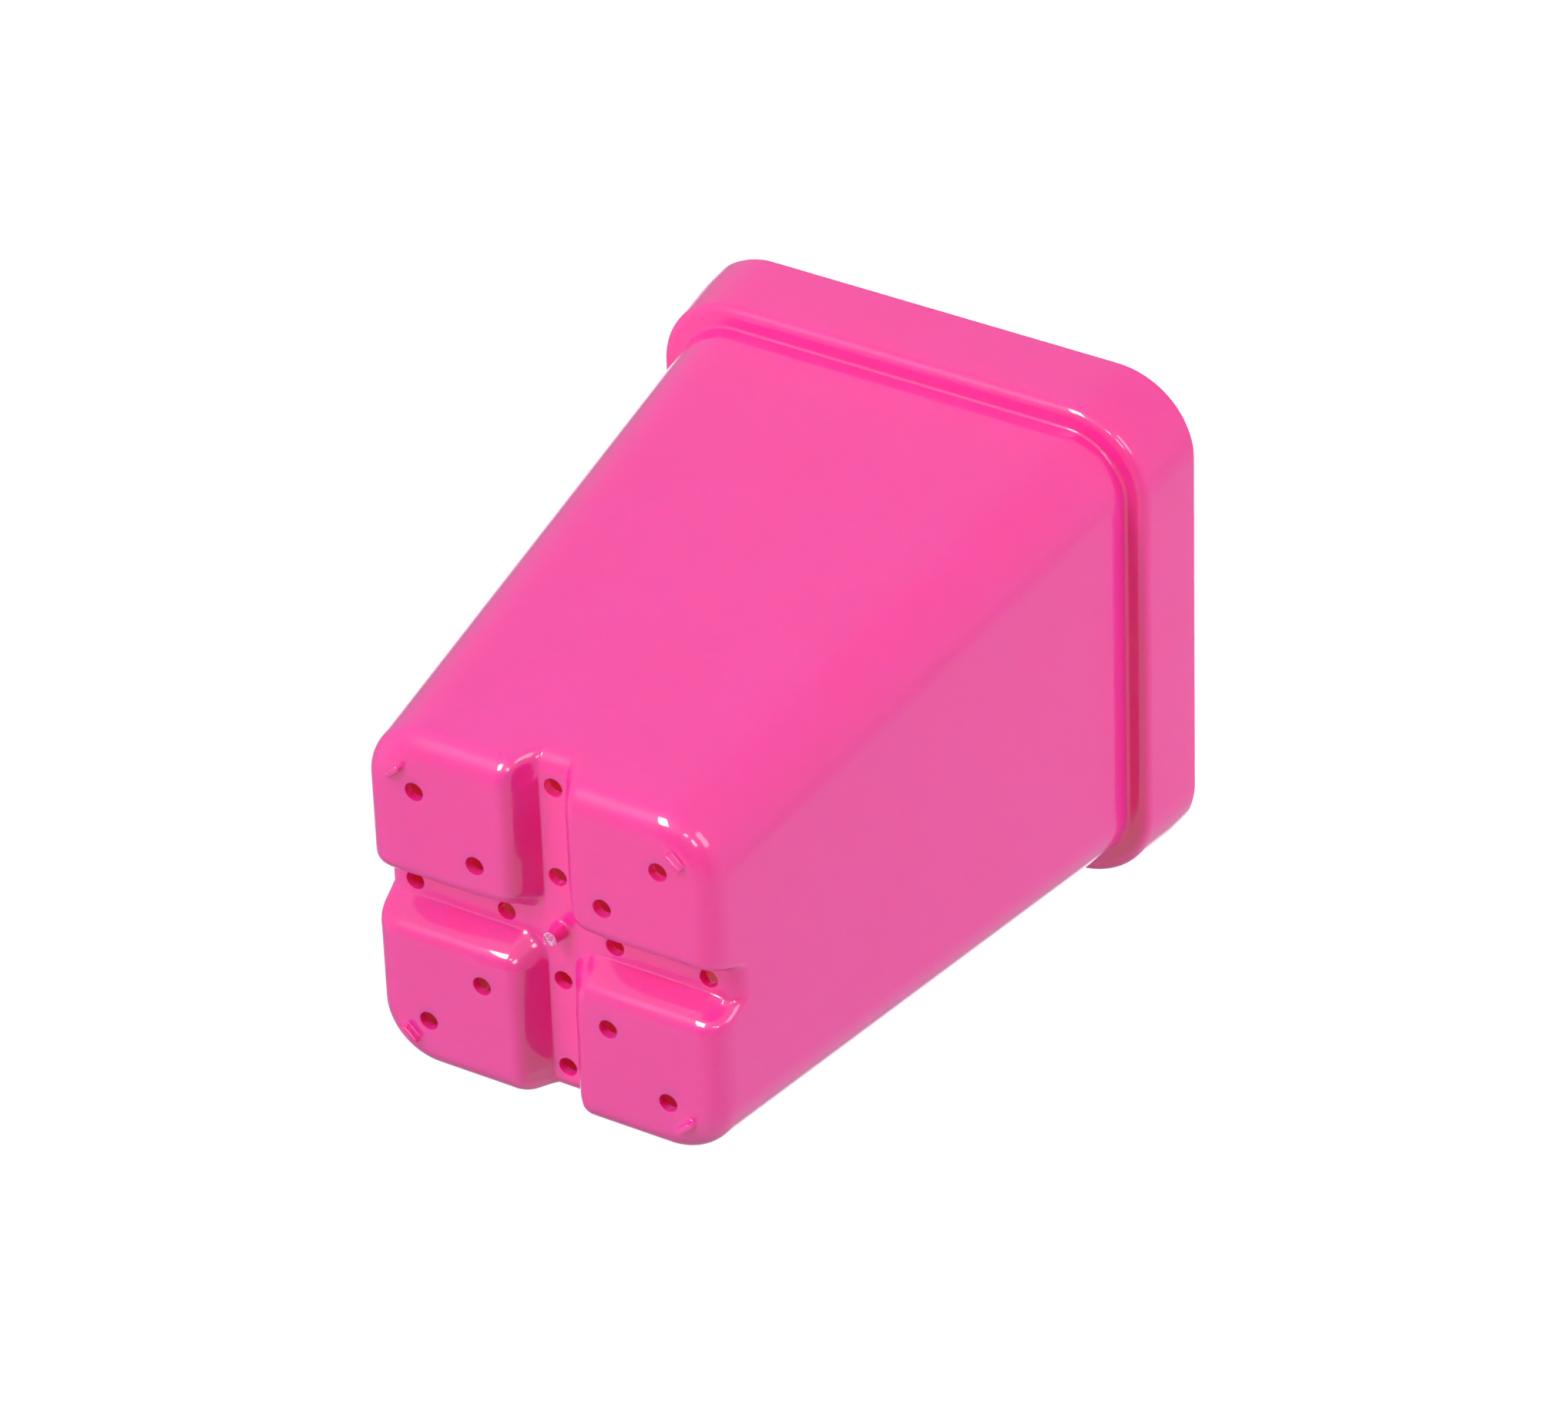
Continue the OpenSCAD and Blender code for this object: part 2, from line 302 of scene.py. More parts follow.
# One ring lies between the collar's edges: how far down and in, and its larger corner radius.
middle_down, middle_in, middle_corner = 4, 2.15 * math.tan(collar_draft), 0.1


def collar_rings(skin):
    """The hollow under the collar and the collar's lower edge."""
    under_c = body_half(collar_z - under_r, 0) + under_r / math.cos(draft)
    edge_c = collar_w / 2 - collar_edge_r
    hollow_r, edge_r = under_r + skin, collar_edge_r - skin
    hollow = arc(under_c, collar_z - under_r, hollow_r, math.pi - draft, QUARTER, collar_steps)
    edge = arc(edge_c, collar_z + collar_edge_r, edge_r, -QUARTER, -collar_draft, collar_steps)
    neck = body_half(collar_z, skin)
    rings = [plain(w, corner_r - skin + (w - neck) * hollow_corner_growth, z) for w, z in hollow]
    return rings + [plain(w, collar_corner_r - (collar_w / 2 - w), z) for w, z in edge]


def skin_rings(skin):
    """All rings of the outer skin, or of the inner one that lies skin millimetres inside it."""
    base_skin = base_t if skin else 0
    inward = -1 if skin else 1
    top_w, top_r = rim_w / 2 - skin, rim_corner_r - skin
    levels = [channel_z + base_skin + mouth_r - skin + gap for gap in wall_gaps]
    rings = toe_rings(skin, base_skin)
    rings += [plain(body_half(z, skin), corner_r - skin, z) for z in levels]
    rings += collar_rings(skin)
    rings.append(plain(top_w - middle_in, top_r + middle_corner, pot_h - middle_down))
    for i in range(top_steps + 1):
        a = QUARTER * i / top_steps
        cut = inward * top_edge_r * (1 - math.cos(a))
        rings.append(plain(top_w - cut, top_r - cut, pot_h - top_edge_r * (1 - math.sin(a))))
    return rings


outer_rings, inner_rings = skin_rings(0), skin_rings(wall)
print(len(outer_rings) + len(inner_rings), "rings")

# %% [markdown]
# ## One closed skin
#
# The outer base grid, the rings up to the top edge, the rings down inside and the inner base grid
# are joined in that order. The result is a closed body with no loose edges, like the real
# plastic. The points of its inner side are marked with an attribute, where the finish paints a
# deeper pink as painted shade of light bounced inside.

# %% Outline of the base grid
row = len(grid_lines)
outline = [j * row + row - 1 for j in range(row - 1)]
outline += [(row - 1) * row + i for i in range(row - 1, 0, -1)]
outline += [j * row for j in range(row - 1, 0, -1)]
outline += list(range(row - 1))
print("the base grid meets the first ring in", len(outline), "points")

# %% Join the skin
def skin_mesh(name):
    """The closed skin, before ribs, stub and holes."""
    points = base_grid(*outer_rings[0][:2], face_z, channel_w / 2, outer_section)
    first_ring = len(points)
    for ring in outer_rings[1:]:
        points += ring_points(ring, outer_section)
    first_inner = len(points)
    for ring in reversed(inner_rings[1:]):
        points += ring_points(ring, inner_section)
    inner_base = len(points)
    inner_face_z = face_z + base_t
    points += base_grid(*inner_rings[0][:2], inner_face_z, inner_floor_half, inner_section)

    loops = [outline]
    loops += [list(range(k, k + ring_size)) for k in range(first_ring, inner_base, ring_size)]
    loops.append([inner_base + k for k in outline])
    faces = []
    for j in range(row - 1):
        for i in range(row - 1):
            a = j * row + i
            faces.append((a, a + row, a + row + 1, a + 1))
            faces.append(tuple(inner_base + k for k in (a, a + 1, a + row + 1, a + row)))
    for low, high in zip(loops, loops[1:]):
        for i in range(ring_size):
            k = (i + 1) % ring_size
            faces.append((low[i], low[k], high[k], high[i]))

    mesh = bpy.data.meshes.new(name)
    mesh.from_pydata([Vector(p) * MM for p in points], [], faces)
    # Marks the inner skin, where the finish paints a deeper pink as painted shade of bounced light.
    inside = mesh.attributes.new("inside", "FLOAT", "POINT")
    inside.data.foreach_set("value", [float(k >= first_inner) for k in range(len(points))])
    mesh.validate()
    return mesh


def add(name, mesh):
    """A new object in the scene."""
    piece = bpy.data.objects.new(name, mesh)
    scene.collection.objects.link(piece)
    return piece


pot_skin = add("pot_skin", skin_mesh("pot_skin"))
print("skin:", len(pot_skin.data.vertices), "points,", len(pot_skin.data.polygons), "faces")

# %% [markdown]
# ## Corner ribs
#
# Under each foot stands one short rib, square to the foot's diagonal. It keeps the drain holes
# off the bench. Its sides lean in to a round crest, and a small fillet ties it to the foot's
# face. Stadium-shaped rings, stacked from inside the base's plastic down to the ground, make all
# three.

# %% Ribs under the feet
rib_l, rib_w = 2.55, 0.95
rib_crest_w, rib_crest_r = 0.15, 0.3
rib_root_r = 0.15
rib_at = 17.5
rib_root_steps, rib_crest_steps, rib_end_steps = 5, 7, 12


def root_fillet(x, z, r, lean, count):
    """Profile from inside the plastic over a fillet, where a side that leans in meets a level
    face at x, z."""
    middle = x + r * (1 - math.sin(lean)) / math.cos(lean)
    return [(middle, z + base_t / 2)] + arc(middle, z - r, r, QUARTER, math.pi - lean, count)


def stadium(half_length, r, z):
    """A level ring with round ends and straight sides."""
    straight = half_length - r
    right = arc(0, straight, r, 0, math.pi, rib_end_steps)
    left = arc(0, -straight, r, math.pi, 2 * math.pi, rib_end_steps)
    return [(x, y, z) for x, y in right + left]


def rib_rings(turn):
    """The rings of one rib, at an angle round the pot's middle."""
    lean = math.atan((rib_w / 2 - rib_crest_w / 2 - rib_crest_r) / (rib_h - rib_crest_r))
    root = root_fillet(rib_w / 2, face_z, rib_root_r, lean, rib_root_steps)
    crest = arc(rib_crest_w / 2, rib_crest_r, rib_crest_r, -lean, -QUARTER, rib_crest_steps)
    c, s = math.cos(turn), math.sin(turn)
    rings = []
    for out, z in root + crest:
        points = stadium((rib_l - rib_w) / 2 + out, out, z)
        points = [(x + rib_at * math.sqrt(2), y, h) for x, y, h in points]
        rings.append([(x * c - y * s, x * s + y * c, h) for x, y, h in points])
    return rings


ribs = [rib_rings(QUARTER / 2 + k * QUARTER) for k in range(4)]
print(len(ribs), "ribs of", len(ribs[0]), "rings")

# %% [markdown]
# ## Gate stub
#
# Molten plastic came in at the middle of the base. When the runner was snapped off, it left a
# short cone, joined to the channel's floor by a fillet. The cone is a turned profile.

# %% Gate stub
stub_l, stub_end_r, stub_foot_r = 2.15, 0.8, 1.1
stub_root_r, stub_edge_r = 0.4, 0.08
stub_root_steps, stub_edge_steps = 7, 3
round_sides = 48
tip_z = channel_z - stub_l


def turned(profile, count):
    """Rings of a turned piece."""
    turns = [2 * math.pi * k / count for k in range(count)]
    return [[(r * math.cos(a), r * math.sin(a), z) for a in turns] for r, z in profile]


def stub_rings():
    """The cone with its fillet and the soft edge of its end."""
    lean = math.atan((stub_foot_r - stub_end_r) / stub_l)
    root = root_fillet(stub_foot_r, channel_z, stub_root_r, lean, stub_root_steps)
    edge_x, edge_z = stub_end_r - stub_edge_r, tip_z + stub_edge_r
    end = arc(edge_x, edge_z, stub_edge_r, -lean, -QUARTER, stub_edge_steps)
    return turned(root + end, round_sides)


print("stub reaches down to", round(tip_z, 2), "mm")

# %% [markdown]
# ## Drain holes
#
# The mould leaves sixteen straight round holes, two on each foot's diagonal and two in each arm
# of the cross. Each drill is a turned piece too, a little longer than the base is thick.

# %% Places of the holes
hole_d = 2.3
drill_over = 1
foot_hole_far, foot_hole_near = 15.25, 8.0
channel_hole_far, channel_hole_near = 18.55, 6.85


def hole_places():
    """The middle of each hole, at the outer face of the base."""
    for sx, sy in ((1, 1), (-1, 1), (-1, -1), (1, -1)):
        for out in (foot_hole_far, foot_hole_near):
            yield sx * out, sy * out, face_z
    for c, s in four_sides:
        for out in (channel_hole_far, channel_hole_near):
            yield c * out, s * out, channel_z


def drill_rings(x, y, z):
    """A drill through the base at one place."""
    r = hole_d / 2
    circles = turned([(r, z - drill_over), (r, z + base_t + drill_over)], round_sides)
    return [[(x + px, y + py, h) for px, py, h in circle] for circle in circles]


drills = [drill_rings(*place) for place in hole_places()]
print(len(drills), "drills")

# %% [markdown]
# ## Fuse, drill and soften
#
# Boolean modifiers fuse the ribs and the stub to the skin and drill the holes, which keeps the
# grid simple and the pot one closed body. Each hole of the real pot has a fine soft edge that
# catches the light. A Bevel held to the steepest edges rounds just the holes, because every other
# edge of the skin already is a rounding. Weighted normals keep the big flat faces flat beside
# them.

# %% Closed bodies from rings
def stack(bm, rings):
    """A closed body from rings of points."""
    rows = [[bm.verts.new(Vector(p) * MM) for p in points] for points in rings]
    for low, high in zip(rows, rows[1:]):
        for i in range(len(low)):
            k = (i + 1) % len(low)
            bm.faces.new((low[i], low[k], high[k], high[i]))
    bm.faces.new(rows[0])
    bm.faces.new(rows[-1])


def closed_mesh(name, bm):
    """A mesh from the closed bodies in bm, with every face turned outwards."""
    bmesh.ops.recalc_face_normals(bm, faces=bm.faces)
    mesh = bpy.data.meshes.new(name)
    bm.to_mesh(mesh)
    bm.free()
    return mesh


def finished_mesh(piece):
    """The piece's mesh with its modifiers worked in."""
    graph = bpy.context.evaluated_depsgraph_get()
    return bpy.data.meshes.new_from_object(piece.evaluated_get(graph), depsgraph=graph)


def combine(piece, operation, bodies):
    """Add closed bodies to a piece, or cut them out of it. Each body is a list of rings."""
    bm = bmesh.new()
    for rings in bodies:
        stack(bm, rings)
    tool = add("tool", closed_mesh("tool", bm))
    boolean = piece.modifiers.new("combine", "BOOLEAN")
    boolean.object, boolean.operation, boolean.solver = tool, operation, "EXACT"
    piece.data = finished_mesh(piece)
    piece.modifiers.clear()
    bpy.data.objects.remove(tool)


combine(pot_skin, "UNION", ribs + [stub_rings()])
combine(pot_skin, "DIFFERENCE", drills)
print("drilled skin:", len(pot_skin.data.polygons), "faces")

# %% Soft edges and normals
hole_edge_r, hole_edge_steps = 0.15, 4
steep = math.radians(75)
face_weight = 80

soften = pot_skin.modifiers.new("soften", "BEVEL")
soften.width, soften.segments = hole_edge_r * MM, hole_edge_steps
soften.limit_method, soften.angle_limit = "ANGLE", steep
pot_skin.data.shade_smooth()
even = pot_skin.modifiers.new("even", "WEIGHTED_NORMAL")
even.weight, even.keep_sharp = face_weight, True
pot_skin.data = finished_mesh(pot_skin)
pot_skin.modifiers.clear()
pot_skin.data.name = "pot_skin"
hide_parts("pot")
print("softened skin:", len(pot_skin.data.polygons), "faces")

# %% [markdown]
# ## Torn end of the stub
#
# The snapped face isn't cut clean. Its rim is a thin ragged lip, whitened by the stretching,
# round a rough pit, and two wisps of plastic hang off one side. The pit is a stack of shrinking
# circles at uneven heights. The lip is a tube whose middle line and thickness wander with smooth
# noise, and each wisp is a tube that thins out.

# %% Rough pit
pit_lid_r, pit_lid_up = 0.7, 0.2
pit_radii = (0.74, 0.64, 0.52, 0.4, 0.28, 0.16, 0.06)
pit_down, pit_rough, pit_lump = 0.04, 0.2, 0.16
pit_noise_z = 3.1
pit_sides = 32


def jitter(place, size):
    """Smooth noise from about -1 to 1, with lumps of the given size in millimetres."""
    return noise.noise(Vector(place) / size)


def pit_rings():
    """A lid hidden in the stub, then circles that shrink to the middle of the rough face."""
    rings = turned([(pit_lid_r, tip_z + pit_lid_up)], pit_sides)
    for circle in turned([(r, tip_z - pit_down) for r in pit_radii], pit_sides):
        rings.append([
            (x, y, z + pit_rough * jitter((x, y, pit_noise_z), pit_lump)) for x, y, z in circle
        ])
    return rings


print("pit of", len(pit_rings()), "rings")

# %% Tubes
tube_sides = 5


def tube(bm, middle, thickness, closed):
    """A tube about a line of points, with a radius for each. A closed one has no ends."""
    count = len(middle)
    rows = []
    for i, place in enumerate(middle):
        if closed:
            ahead, behind = middle[(i + 1) % count], middle[i - 1]
        else:
            ahead, behind = middle[min(i + 1, count - 1)], middle[max(i - 1, 0)]
        along = Vector([b - a for a, b in zip(behind, ahead)]).normalized()
        side = along.cross(Vector((0, 0, 1))).normalized()
        up = side.cross(along)
        points = []
        for k in range(tube_sides):
            a = 2 * math.pi * k / tube_sides
            away = (side * math.cos(a) + up * math.sin(a)) * thickness[i]
            points.append((Vector(place) + away) * MM)
        rows.append([bm.verts.new(p) for p in points])
    pairs = list(zip(rows, rows[1:])) + ([(rows[-1], rows[0])] if closed else [])
    for low, high in pairs:
        for k in range(tube_sides):
            n = (k + 1) % tube_sides
            bm.faces.new((low[k], low[n], high[n], high[k]))
    if not closed:
        bm.faces.new(rows[0])
        bm.faces.new(rows[-1])


print("tubes have", tube_sides, "sides")

# %% Lip, wisps and the whole torn end
lip_r, lip_down, lip_t, lip_points = 0.79, 0.03, 0.065, 44
lip_r_play, lip_z_play, lip_t_play = 0.07, 0.09, 0.04
lip_r_lump, lip_z_lump, lip_t_lump = 0.45, 0.3, 0.22
wisp_start, wisp_down, wisp_lift, wisp_thinning = 0.72, 0.02, 0.1, 0.7
wisp_steps = (0, 0.25, 0.5, 0.75, 1)


def lip_line():
    """The lip's middle line and its thickness at each point."""
    line, thickness = [], []
    for k in range(lip_points):
        a = 2 * math.pi * k / lip_points
        place = (math.cos(a), math.sin(a), 0)
        r = lip_r + lip_r_play * jitter(place, lip_r_lump)
        z = tip_z - lip_down + lip_z_play * jitter(place, lip_z_lump)
        line.append((r * place[0], r * place[1], z))
        thickness.append(lip_t + lip_t_play * jitter(place, lip_t_lump))
    return line, thickness


def wisp_line(length, turn, bend, thick):
    """A strand that leaves the lip at an angle and thins out."""
    line = []
    for t in wisp_steps:
        out, a = wisp_start + length * t, turn + bend * t
        line.append((out * math.cos(a), out * math.sin(a), tip_z - wisp_down + wisp_lift * t * t))
    return line, [thick * (1 - wisp_thinning * t) for t in wisp_steps]


def tear_mesh(name):
    """Pit, lip and wisps in one mesh."""
    bm = bmesh.new()
    stack(bm, pit_rings())
    tube(bm, *lip_line(), closed=True)
    tube(bm, *wisp_line(length=0.62, turn=2.1, bend=0.28, thick=0.06), closed=False)
    tube(bm, *wisp_line(length=0.5, turn=2.45, bend=-0.3, thick=0.05), closed=False)
    mesh = closed_mesh(name, bm)
    mesh.shade_smooth()
    return mesh


torn_end = add("torn_end", tear_mesh("torn_end"))
print("tear:", len(torn_end.data.polygons), "faces")

# %% [markdown]
# ## Shader maths in plain expressions
#
# A material is a small network of nodes. The first class below wraps one output of a node, so
# that sums can be written as Python expressions. The second holds the network, and one method of
# it makes any node from its settings and inputs.

# %% Values that are worked out in a material
class Value:
    """One output of a node, usable in sums with numbers and other values."""

    def __init__(self, finish, socket):
        self.finish, self.socket = finish, socket

    def maths(self, operation, *others):
        """A Math node on this value and the others."""
        return self.finish.node("ShaderNodeMath", {"operation": operation}, [self, *others])

    def __add__(self, other):
        return self.maths("ADD", other)

    def __sub__(self, other):
        return self.maths("SUBTRACT", other)

    def __rsub__(self, other):
        return self.finish.node("ShaderNodeMath", {"operation": "SUBTRACT"}, [other, self])

    def __mul__(self, other):
        return self.maths("MULTIPLY", other)

    __radd__, __rmul__ = __add__, __mul__


print("values can be added, subtracted and multiplied")

# %% Nodes of a finish
# A Mix node lists the sockets of every kind of data. These are the places of those for colours.
MIX_SHARE, MIX_LOW, MIX_HIGH, MIX_RESULT = 0, 6, 7, 2


class Finish:
    """The nodes of a material or a world under construction."""

    def __init__(self, owner):
        owner.use_nodes = True
        self.owner, self.tree = owner, owner.node_tree
        self.tree.nodes.clear()

    def node(self, kind, settings=None, inputs=(), output=0):
        """A node with its settings made first, then values or links on its inputs, by place or
        by name."""
        made = self.tree.nodes.new(kind)
        for name, value in (settings or {}).items():
            setattr(made, name, value)
        pairs = inputs.items() if isinstance(inputs, dict) else enumerate(inputs)
        for key, value in pairs:
            if isinstance(value, Value):
                self.tree.links.new(value.socket, made.inputs[key])
            else:
                made.inputs[key].default_value = value
        return Value(self, made.outputs[output])

    def mix(self, share, low, high):
        """A colour between low and high."""
        inputs = {MIX_SHARE: share, MIX_LOW: low, MIX_HIGH: high}
        return self.node("ShaderNodeMix", {"data_type": "RGBA"}, inputs, MIX_RESULT)

    def grain(self, size_mm, detail, stretch=(1, 1, 1)):
        """Smooth noise from 0 to 1 with lumps of about size_mm, stretched along the axes."""
        place = self.node("ShaderNodeTexCoord", output="Object")
        inputs = {"Vector": place, "Scale": stretch}
        scaled = self.node("ShaderNodeMapping", {"vector_type": "POINT"}, inputs)
        inputs = {"Vector": scaled, "Scale": 1000 / size_mm, "Detail": detail}
        return self.node("ShaderNodeTexNoise", {}, inputs)

    def range(self, value, low, high, to_low=0.0, to_high=1.0):
        """The value moved from one range to another, and held within it."""
        inputs = [value, low, high, to_low, to_high]
        return self.node("ShaderNodeMapRange", {"clamp": True}, inputs)

    def close(self, surface):
        """Join the surface to the output, and give back the finished material or world."""
        kind = "World" if isinstance(self.owner, bpy.types.World) else "Material"
        end = self.tree.nodes.new("ShaderNodeOutput" + kind)
        self.tree.links.new(surface.socket, end.inputs["Surface"])
        return self.owner


print("shader maths ready")

# %% [markdown]
# ## Pink plastic
#
# The pot is polypropylene coloured all through, with a gloss that comes from the polished mould.
# Light goes a little way into it, red the furthest, so the shaded walls of the channels glow red:
# that is Subsurface with a long red radius. The gloss has two parts. A sharp coat mirrors the
# lamps in small bright spots, and a softer lobe under it draws the wide gradients. The surface
# has a faint orange peel, broad flow clouds, and fine draw marks up the walls, each far too faint
# to see as a pattern.
#
# Light inside the pot bounces from wall to wall many more times than a renderer follows it, and
# takes on a deeper pink each time. So the inner skin, marked by the attribute that was made with
# the mesh, gets a deeper pink painted on: painted shade that stands in for that bounced light.

# %% Finish of the moulded plastic
PINK = (0.98, 0.022, 0.37, 1)
DEEP_PINK = (0.965, 0.02, 0.355, 1)
# Painted shade: the deeper pink of the inner skin stands in for light bounced inside the pot.
PAINTED_BOUNCE_PINK = (0.98, 0.012, 0.22, 1)


def pink_plastic():
    """Glossy plastic, coloured all through, with the marks of its mould, and a deeper pink painted
    inside as shade of bounced light.
    """
    finish = Finish(bpy.data.materials.new("pink_plastic"))
    clouds = finish.grain(size_mm=14, detail=3)
    peel = finish.grain(size_mm=1.6, detail=1)
    draw_marks = finish.grain(size_mm=0.5, detail=2, stretch=(1, 1, 0.02))
    normal = finish.node("ShaderNodeNewGeometry", output="Normal")
    upward = finish.node("ShaderNodeSeparateXYZ", {}, [normal], "Z")
    wall_marks = (1 - upward.maths("ABSOLUTE")) * draw_marks
    outer = finish.mix(finish.range(clouds, 0.35, 0.65), PINK, DEEP_PINK)
    inside = finish.node("ShaderNodeAttribute", {"attribute_name": "inside"}, output="Fac")
    relief = peel * 0.6 + wall_marks * 0.08
    bump = {"Strength": 0.12, "Distance": 0.00002, "Height": relief}
    return finish.close(finish.node("ShaderNodeBsdfPrincipled", {}, {
        # The inner skin gets a deeper pink painted in, as shade of light bounced inside the pot.
        "Base Color": finish.mix(inside, outer, PAINTED_BOUNCE_PINK),
        "Roughness": 0.40 + clouds * 0.03 + wall_marks * 0.03,
        "Normal": finish.node("ShaderNodeBump", {}, bump),
        "IOR": 1.49,
        "Specular IOR Level": 0.35,
        "Subsurface Weight": 1.0,
        "Subsurface Radius": (1.0, 0.025, 0.07),
        "Subsurface Scale": 0.002,
        "Coat Weight": 1.0,
        "Coat Roughness": 0.03,
        "Coat IOR": 1.6,
    }))


pot_skin.data.materials.clear()
pot_skin.data.materials.append(pink_plastic())
print("finished:", pot_skin.name)

# %% [markdown]
# ## Torn plastic
#
# Where plastic is stretched until it tears, it turns white along its fibres. Fine noise mixes
# that white into the pink, and the same noise raises the fibres with a bump.

# %% Finish of the torn end
WHITENED_PINK = (0.95, 0.5, 0.74, 1)
TORN_PINK = (0.88, 0.1, 0.36, 1)


def torn_plastic():
    """Plastic whitened and roughened by tearing."""
    finish = Finish(bpy.data.materials.new("torn_plastic"))
    fibre = finish.grain(size_mm=0.25, detail=3)
    bump = {"Strength": 0.8, "Distance": 0.0001, "Height": fibre}
    return finish.close(finish.node("ShaderNodeBsdfPrincipled", {}, {
        "Base Color": finish.mix(finish.range(fibre, 0.4, 0.6), WHITENED_PINK, TORN_PINK),
        "Roughness": 0.35,
        "Normal": finish.node("ShaderNodeBump", {}, bump),
    }))


torn_end.data.materials.append(torn_plastic())
for piece in (pot_skin, torn_end):
    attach(piece, "root")
print("finished:", torn_end.name)

# %% [markdown]
# ## Floor
#
# The pot stands on a plain pale floor. The photographer looked up at the pot from below, so the
# floor shows only from above: from below, and to the light that reaches the pot, it is clear. It
# carries the pot's shadow, with a share of plain white to keep it pale, and fades to the white of
# the background so that no horizon shows.

# %% Pale floor
MATT_WHITE = (0.86, 0.86, 0.86, 1)
WHITE = (1, 1, 1, 1)
# The floor, the lamps and the camera are placed in metres.
ground_half = 3
fade_start, fade_end, near_white = 0.1, 0.6, 0.3


def floor_finish():
    """Matt white that fades to the background, seen only from above."""
    finish = Finish(bpy.data.materials.new("pale_floor"))
    place = finish.node("ShaderNodeTexCoord", output="Object")
    distance = finish.node("ShaderNodeVectorMath", {"operation": "LENGTH"}, [place], "Value")
    far = finish.range(distance, fade_start, fade_end, near_white, 1.0)
    matt = finish.node("ShaderNodeBsdfDiffuse", {}, {"Color": MATT_WHITE})
    white = finish.node("ShaderNodeEmission", {}, {"Color": WHITE, "Strength": 1.0})
    seen = finish.node("ShaderNodeMixShader", {}, [far, matt, white])
    clear = finish.node("ShaderNodeBsdfTransparent")
    camera_ray = finish.node("ShaderNodeLightPath", output="Is Camera Ray")
    back = finish.node("ShaderNodeNewGeometry", output="Backfacing")
    shows = camera_ray * (1 - back)
    return finish.close(finish.node("ShaderNodeMixShader", {}, [shows, clear, seen]))


def floor_mesh(half):
    """A square about the origin, at ground level."""
    mesh = bpy.data.meshes.new("floor")
    corners = [(-half, -half, 0), (half, -half, 0), (half, half, 0), (-half, half, 0)]
    mesh.from_pydata(corners, [], [(0, 1, 2, 3)])
    return mesh


floor = add("floor", floor_mesh(ground_half))
floor.data.materials.append(floor_finish())
print("floor placed")

# %% [markdown]
# ## White surround
#
# The photograph was lit by a white surround. A real surround is uneven: how bright the gloss is
# on each face tells how bright the part is that it mirrors, so soft patches dim or lift those
# parts. It is also weaker below the ground than above it, and it has a strength of its own as
# light, as a reflection and as the background.

# %% World
ground_blend = 0.1


def toward(azimuth, elevation):
    """Direction from the pot, for an azimuth and elevation in degrees."""
    a, e = math.radians(azimuth), math.radians(elevation)
    return Vector((math.cos(a) * math.cos(e), math.sin(a) * math.cos(e), math.sin(e)))


def cos_degrees(angle):
    """Cosine of an angle in degrees."""
    return math.cos(math.radians(angle))


def world_light(low, high, mirrored, backdrop, patches):
    """White surround: its strength as light from below and above the ground, as a reflection
    and as the background. Each patch has an azimuth and elevation, the angles from there at
    which it is whole and at which it has faded out, and the share of light that it leaves."""
    finish = Finish(bpy.data.worlds.new("surround"))
    camera_ray = finish.node("ShaderNodeLightPath", output="Is Camera Ray")
    glossy_ray = finish.node("ShaderNodeLightPath", output="Is Glossy Ray")
    direction = finish.node("ShaderNodeTexCoord", output="Generated")
    height = finish.node("ShaderNodeSeparateXYZ", {}, [direction], "Z")
    fill = finish.range(height, -ground_blend, ground_blend, low, high)
    light = fill + glossy_ray * (mirrored - fill)
    for azimuth, elevation, whole, faded, share in patches:
        pair = [direction, tuple(toward(azimuth, elevation))]
        near = finish.node("ShaderNodeVectorMath", {"operation": "DOT_PRODUCT"}, pair, "Value")
        light = light * finish.range(near, cos_degrees(faded), cos_degrees(whole), 1.0, share)
    strength = light + camera_ray * (backdrop - light)
    sky = finish.node("ShaderNodeBackground", {}, {"Color": WHITE, "Strength": strength})
    return finish.close(sky)


# Azimuth, elevation, whole, faded, share
surround_patches = [
    (-12, -38, 10, 32, 0.6),
    (-80, -82, 15, 32, 0.62),
    (95, -48, 10, 28, 1.15),
    (-123, 34, 15, 35, 0.9),
    (125, 22, 25, 62, 0.42),
    (127, 42, 13, 25, 4.0),
    (40, 45, 12, 30, 0.72),
    (-178, 25, 15, 40, 0.7),
    (0, 90, 34, 44, 0.08),
]
scene.world = world_light(
    low=0.2, high=0.75, mirrored=0.82, backdrop=1.0, patches=surround_patches
)
print("surround with", len(surround_patches), "patches")

# %% [markdown]
# ## Lamps
#
# A softbox stood low on the left. Its reflections on the feet's rounded edges give its direction:
# traced back from the mirror highlights, it stands left of the camera and as low. Two small lamps
# near the camera and a large one on the right make the other spots and streaks.
#
# Lamps that only make reflections, and fills that only light the colour, can each be set without
# upsetting the other. One lamp overhead draws the shadow on the floor.

# %% Lamps
lamp_aim = Vector((0, 0, 0.04))
key_place = (-108, -36.3, 1.0)


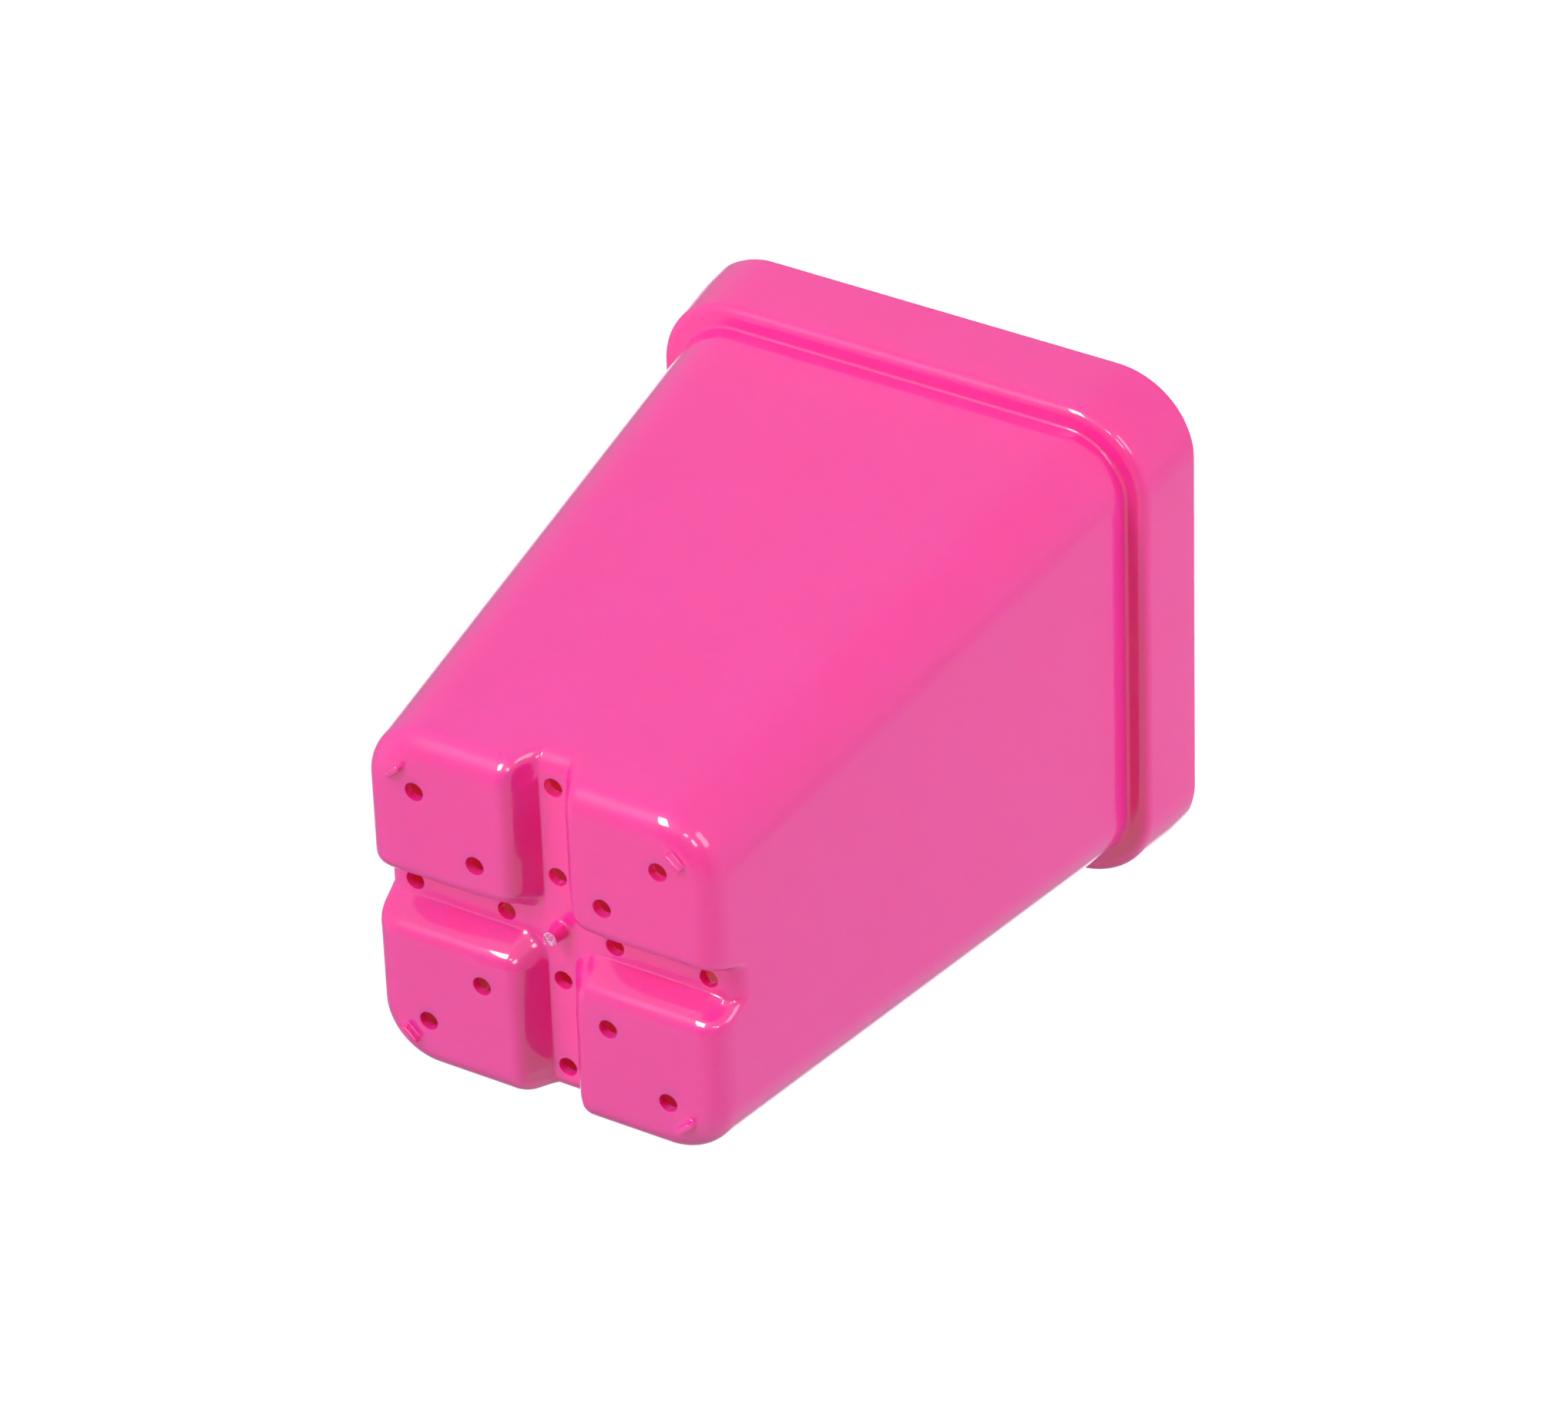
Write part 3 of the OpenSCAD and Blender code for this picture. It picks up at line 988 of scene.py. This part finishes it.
def softbox(name, azimuth, elevation, distance, width, height, power, lights="all"):
    """A lamp that faces the pot from an azimuth and elevation given in degrees. It lights
    "all", only the "gloss" or only the "colour"."""
    away = toward(azimuth, elevation)
    lamp = bpy.data.lights.new(name, "AREA")
    lamp.shape, lamp.size, lamp.size_y, lamp.energy = "RECTANGLE", width, height, power
    holder = bpy.data.objects.new(name, lamp)
    scene.collection.objects.link(holder)
    holder.location = away * distance + lamp_aim
    holder.rotation_mode = "QUATERNION"
    holder.rotation_quaternion = away.to_track_quat("Z", "Y")
    holder.visible_camera = False
    holder.visible_diffuse = lights != "gloss"
    holder.visible_glossy = lights != "colour"


# Name, azimuth, elevation, distance, width, height, power, what it lights
softbox("key_softbox", *key_place, 0.24, 0.38, 6.5, "gloss")
softbox("key_fill", *key_place, 0.28, 0.43, 5.7, "colour")
softbox("right_softbox", -40, -4, 1.2, 0.52, 0.42, 2.6)
softbox("low_lamp", -43, -37, 1.2, 0.22, 0.20, 1.2, "gloss")
softbox("camera_lamp", -62.5, -39, 1.2, 0.13, 0.18, 0.7, "gloss")
softbox("low_fill", -165, -60, 1.2, 0.9, 0.9, 7.9, "colour")
softbox("top_softbox", 120, 65, 1.0, 0.6, 0.6, 5.0)
softbox("side_fill", 15, 12, 1.2, 0.9, 0.9, 6.8, "colour")

# %% [markdown]
# ## Camera
#
# A long lens from nearly a metre away, low in front of the pot and to its right, looking up at
# the base. Its place and turn come from fitting one pinhole camera to the pot's outline and the
# sixteen holes.

# %% Camera
lens_data = bpy.data.cameras.new("camera")
lens_data.sensor_fit = "HORIZONTAL"
lens_data.sensor_width = 36
lens_data.lens = 199.44
lens_data.clip_start, lens_data.clip_end = 0.05, 20
camera = bpy.data.objects.new("camera", lens_data)
scene.collection.objects.link(camera)
camera.location = (0.419676, -0.550761, -0.617007)
camera.rotation_euler = (2.515392, -0.539853, 0.034374)
scene.camera = camera
scene.view_settings.view_transform = "Standard"
print("camera is", round(camera.location.length, 3), "m from the pot's foot")

# %% Bring the scene up to date
bpy.context.view_layer.update()
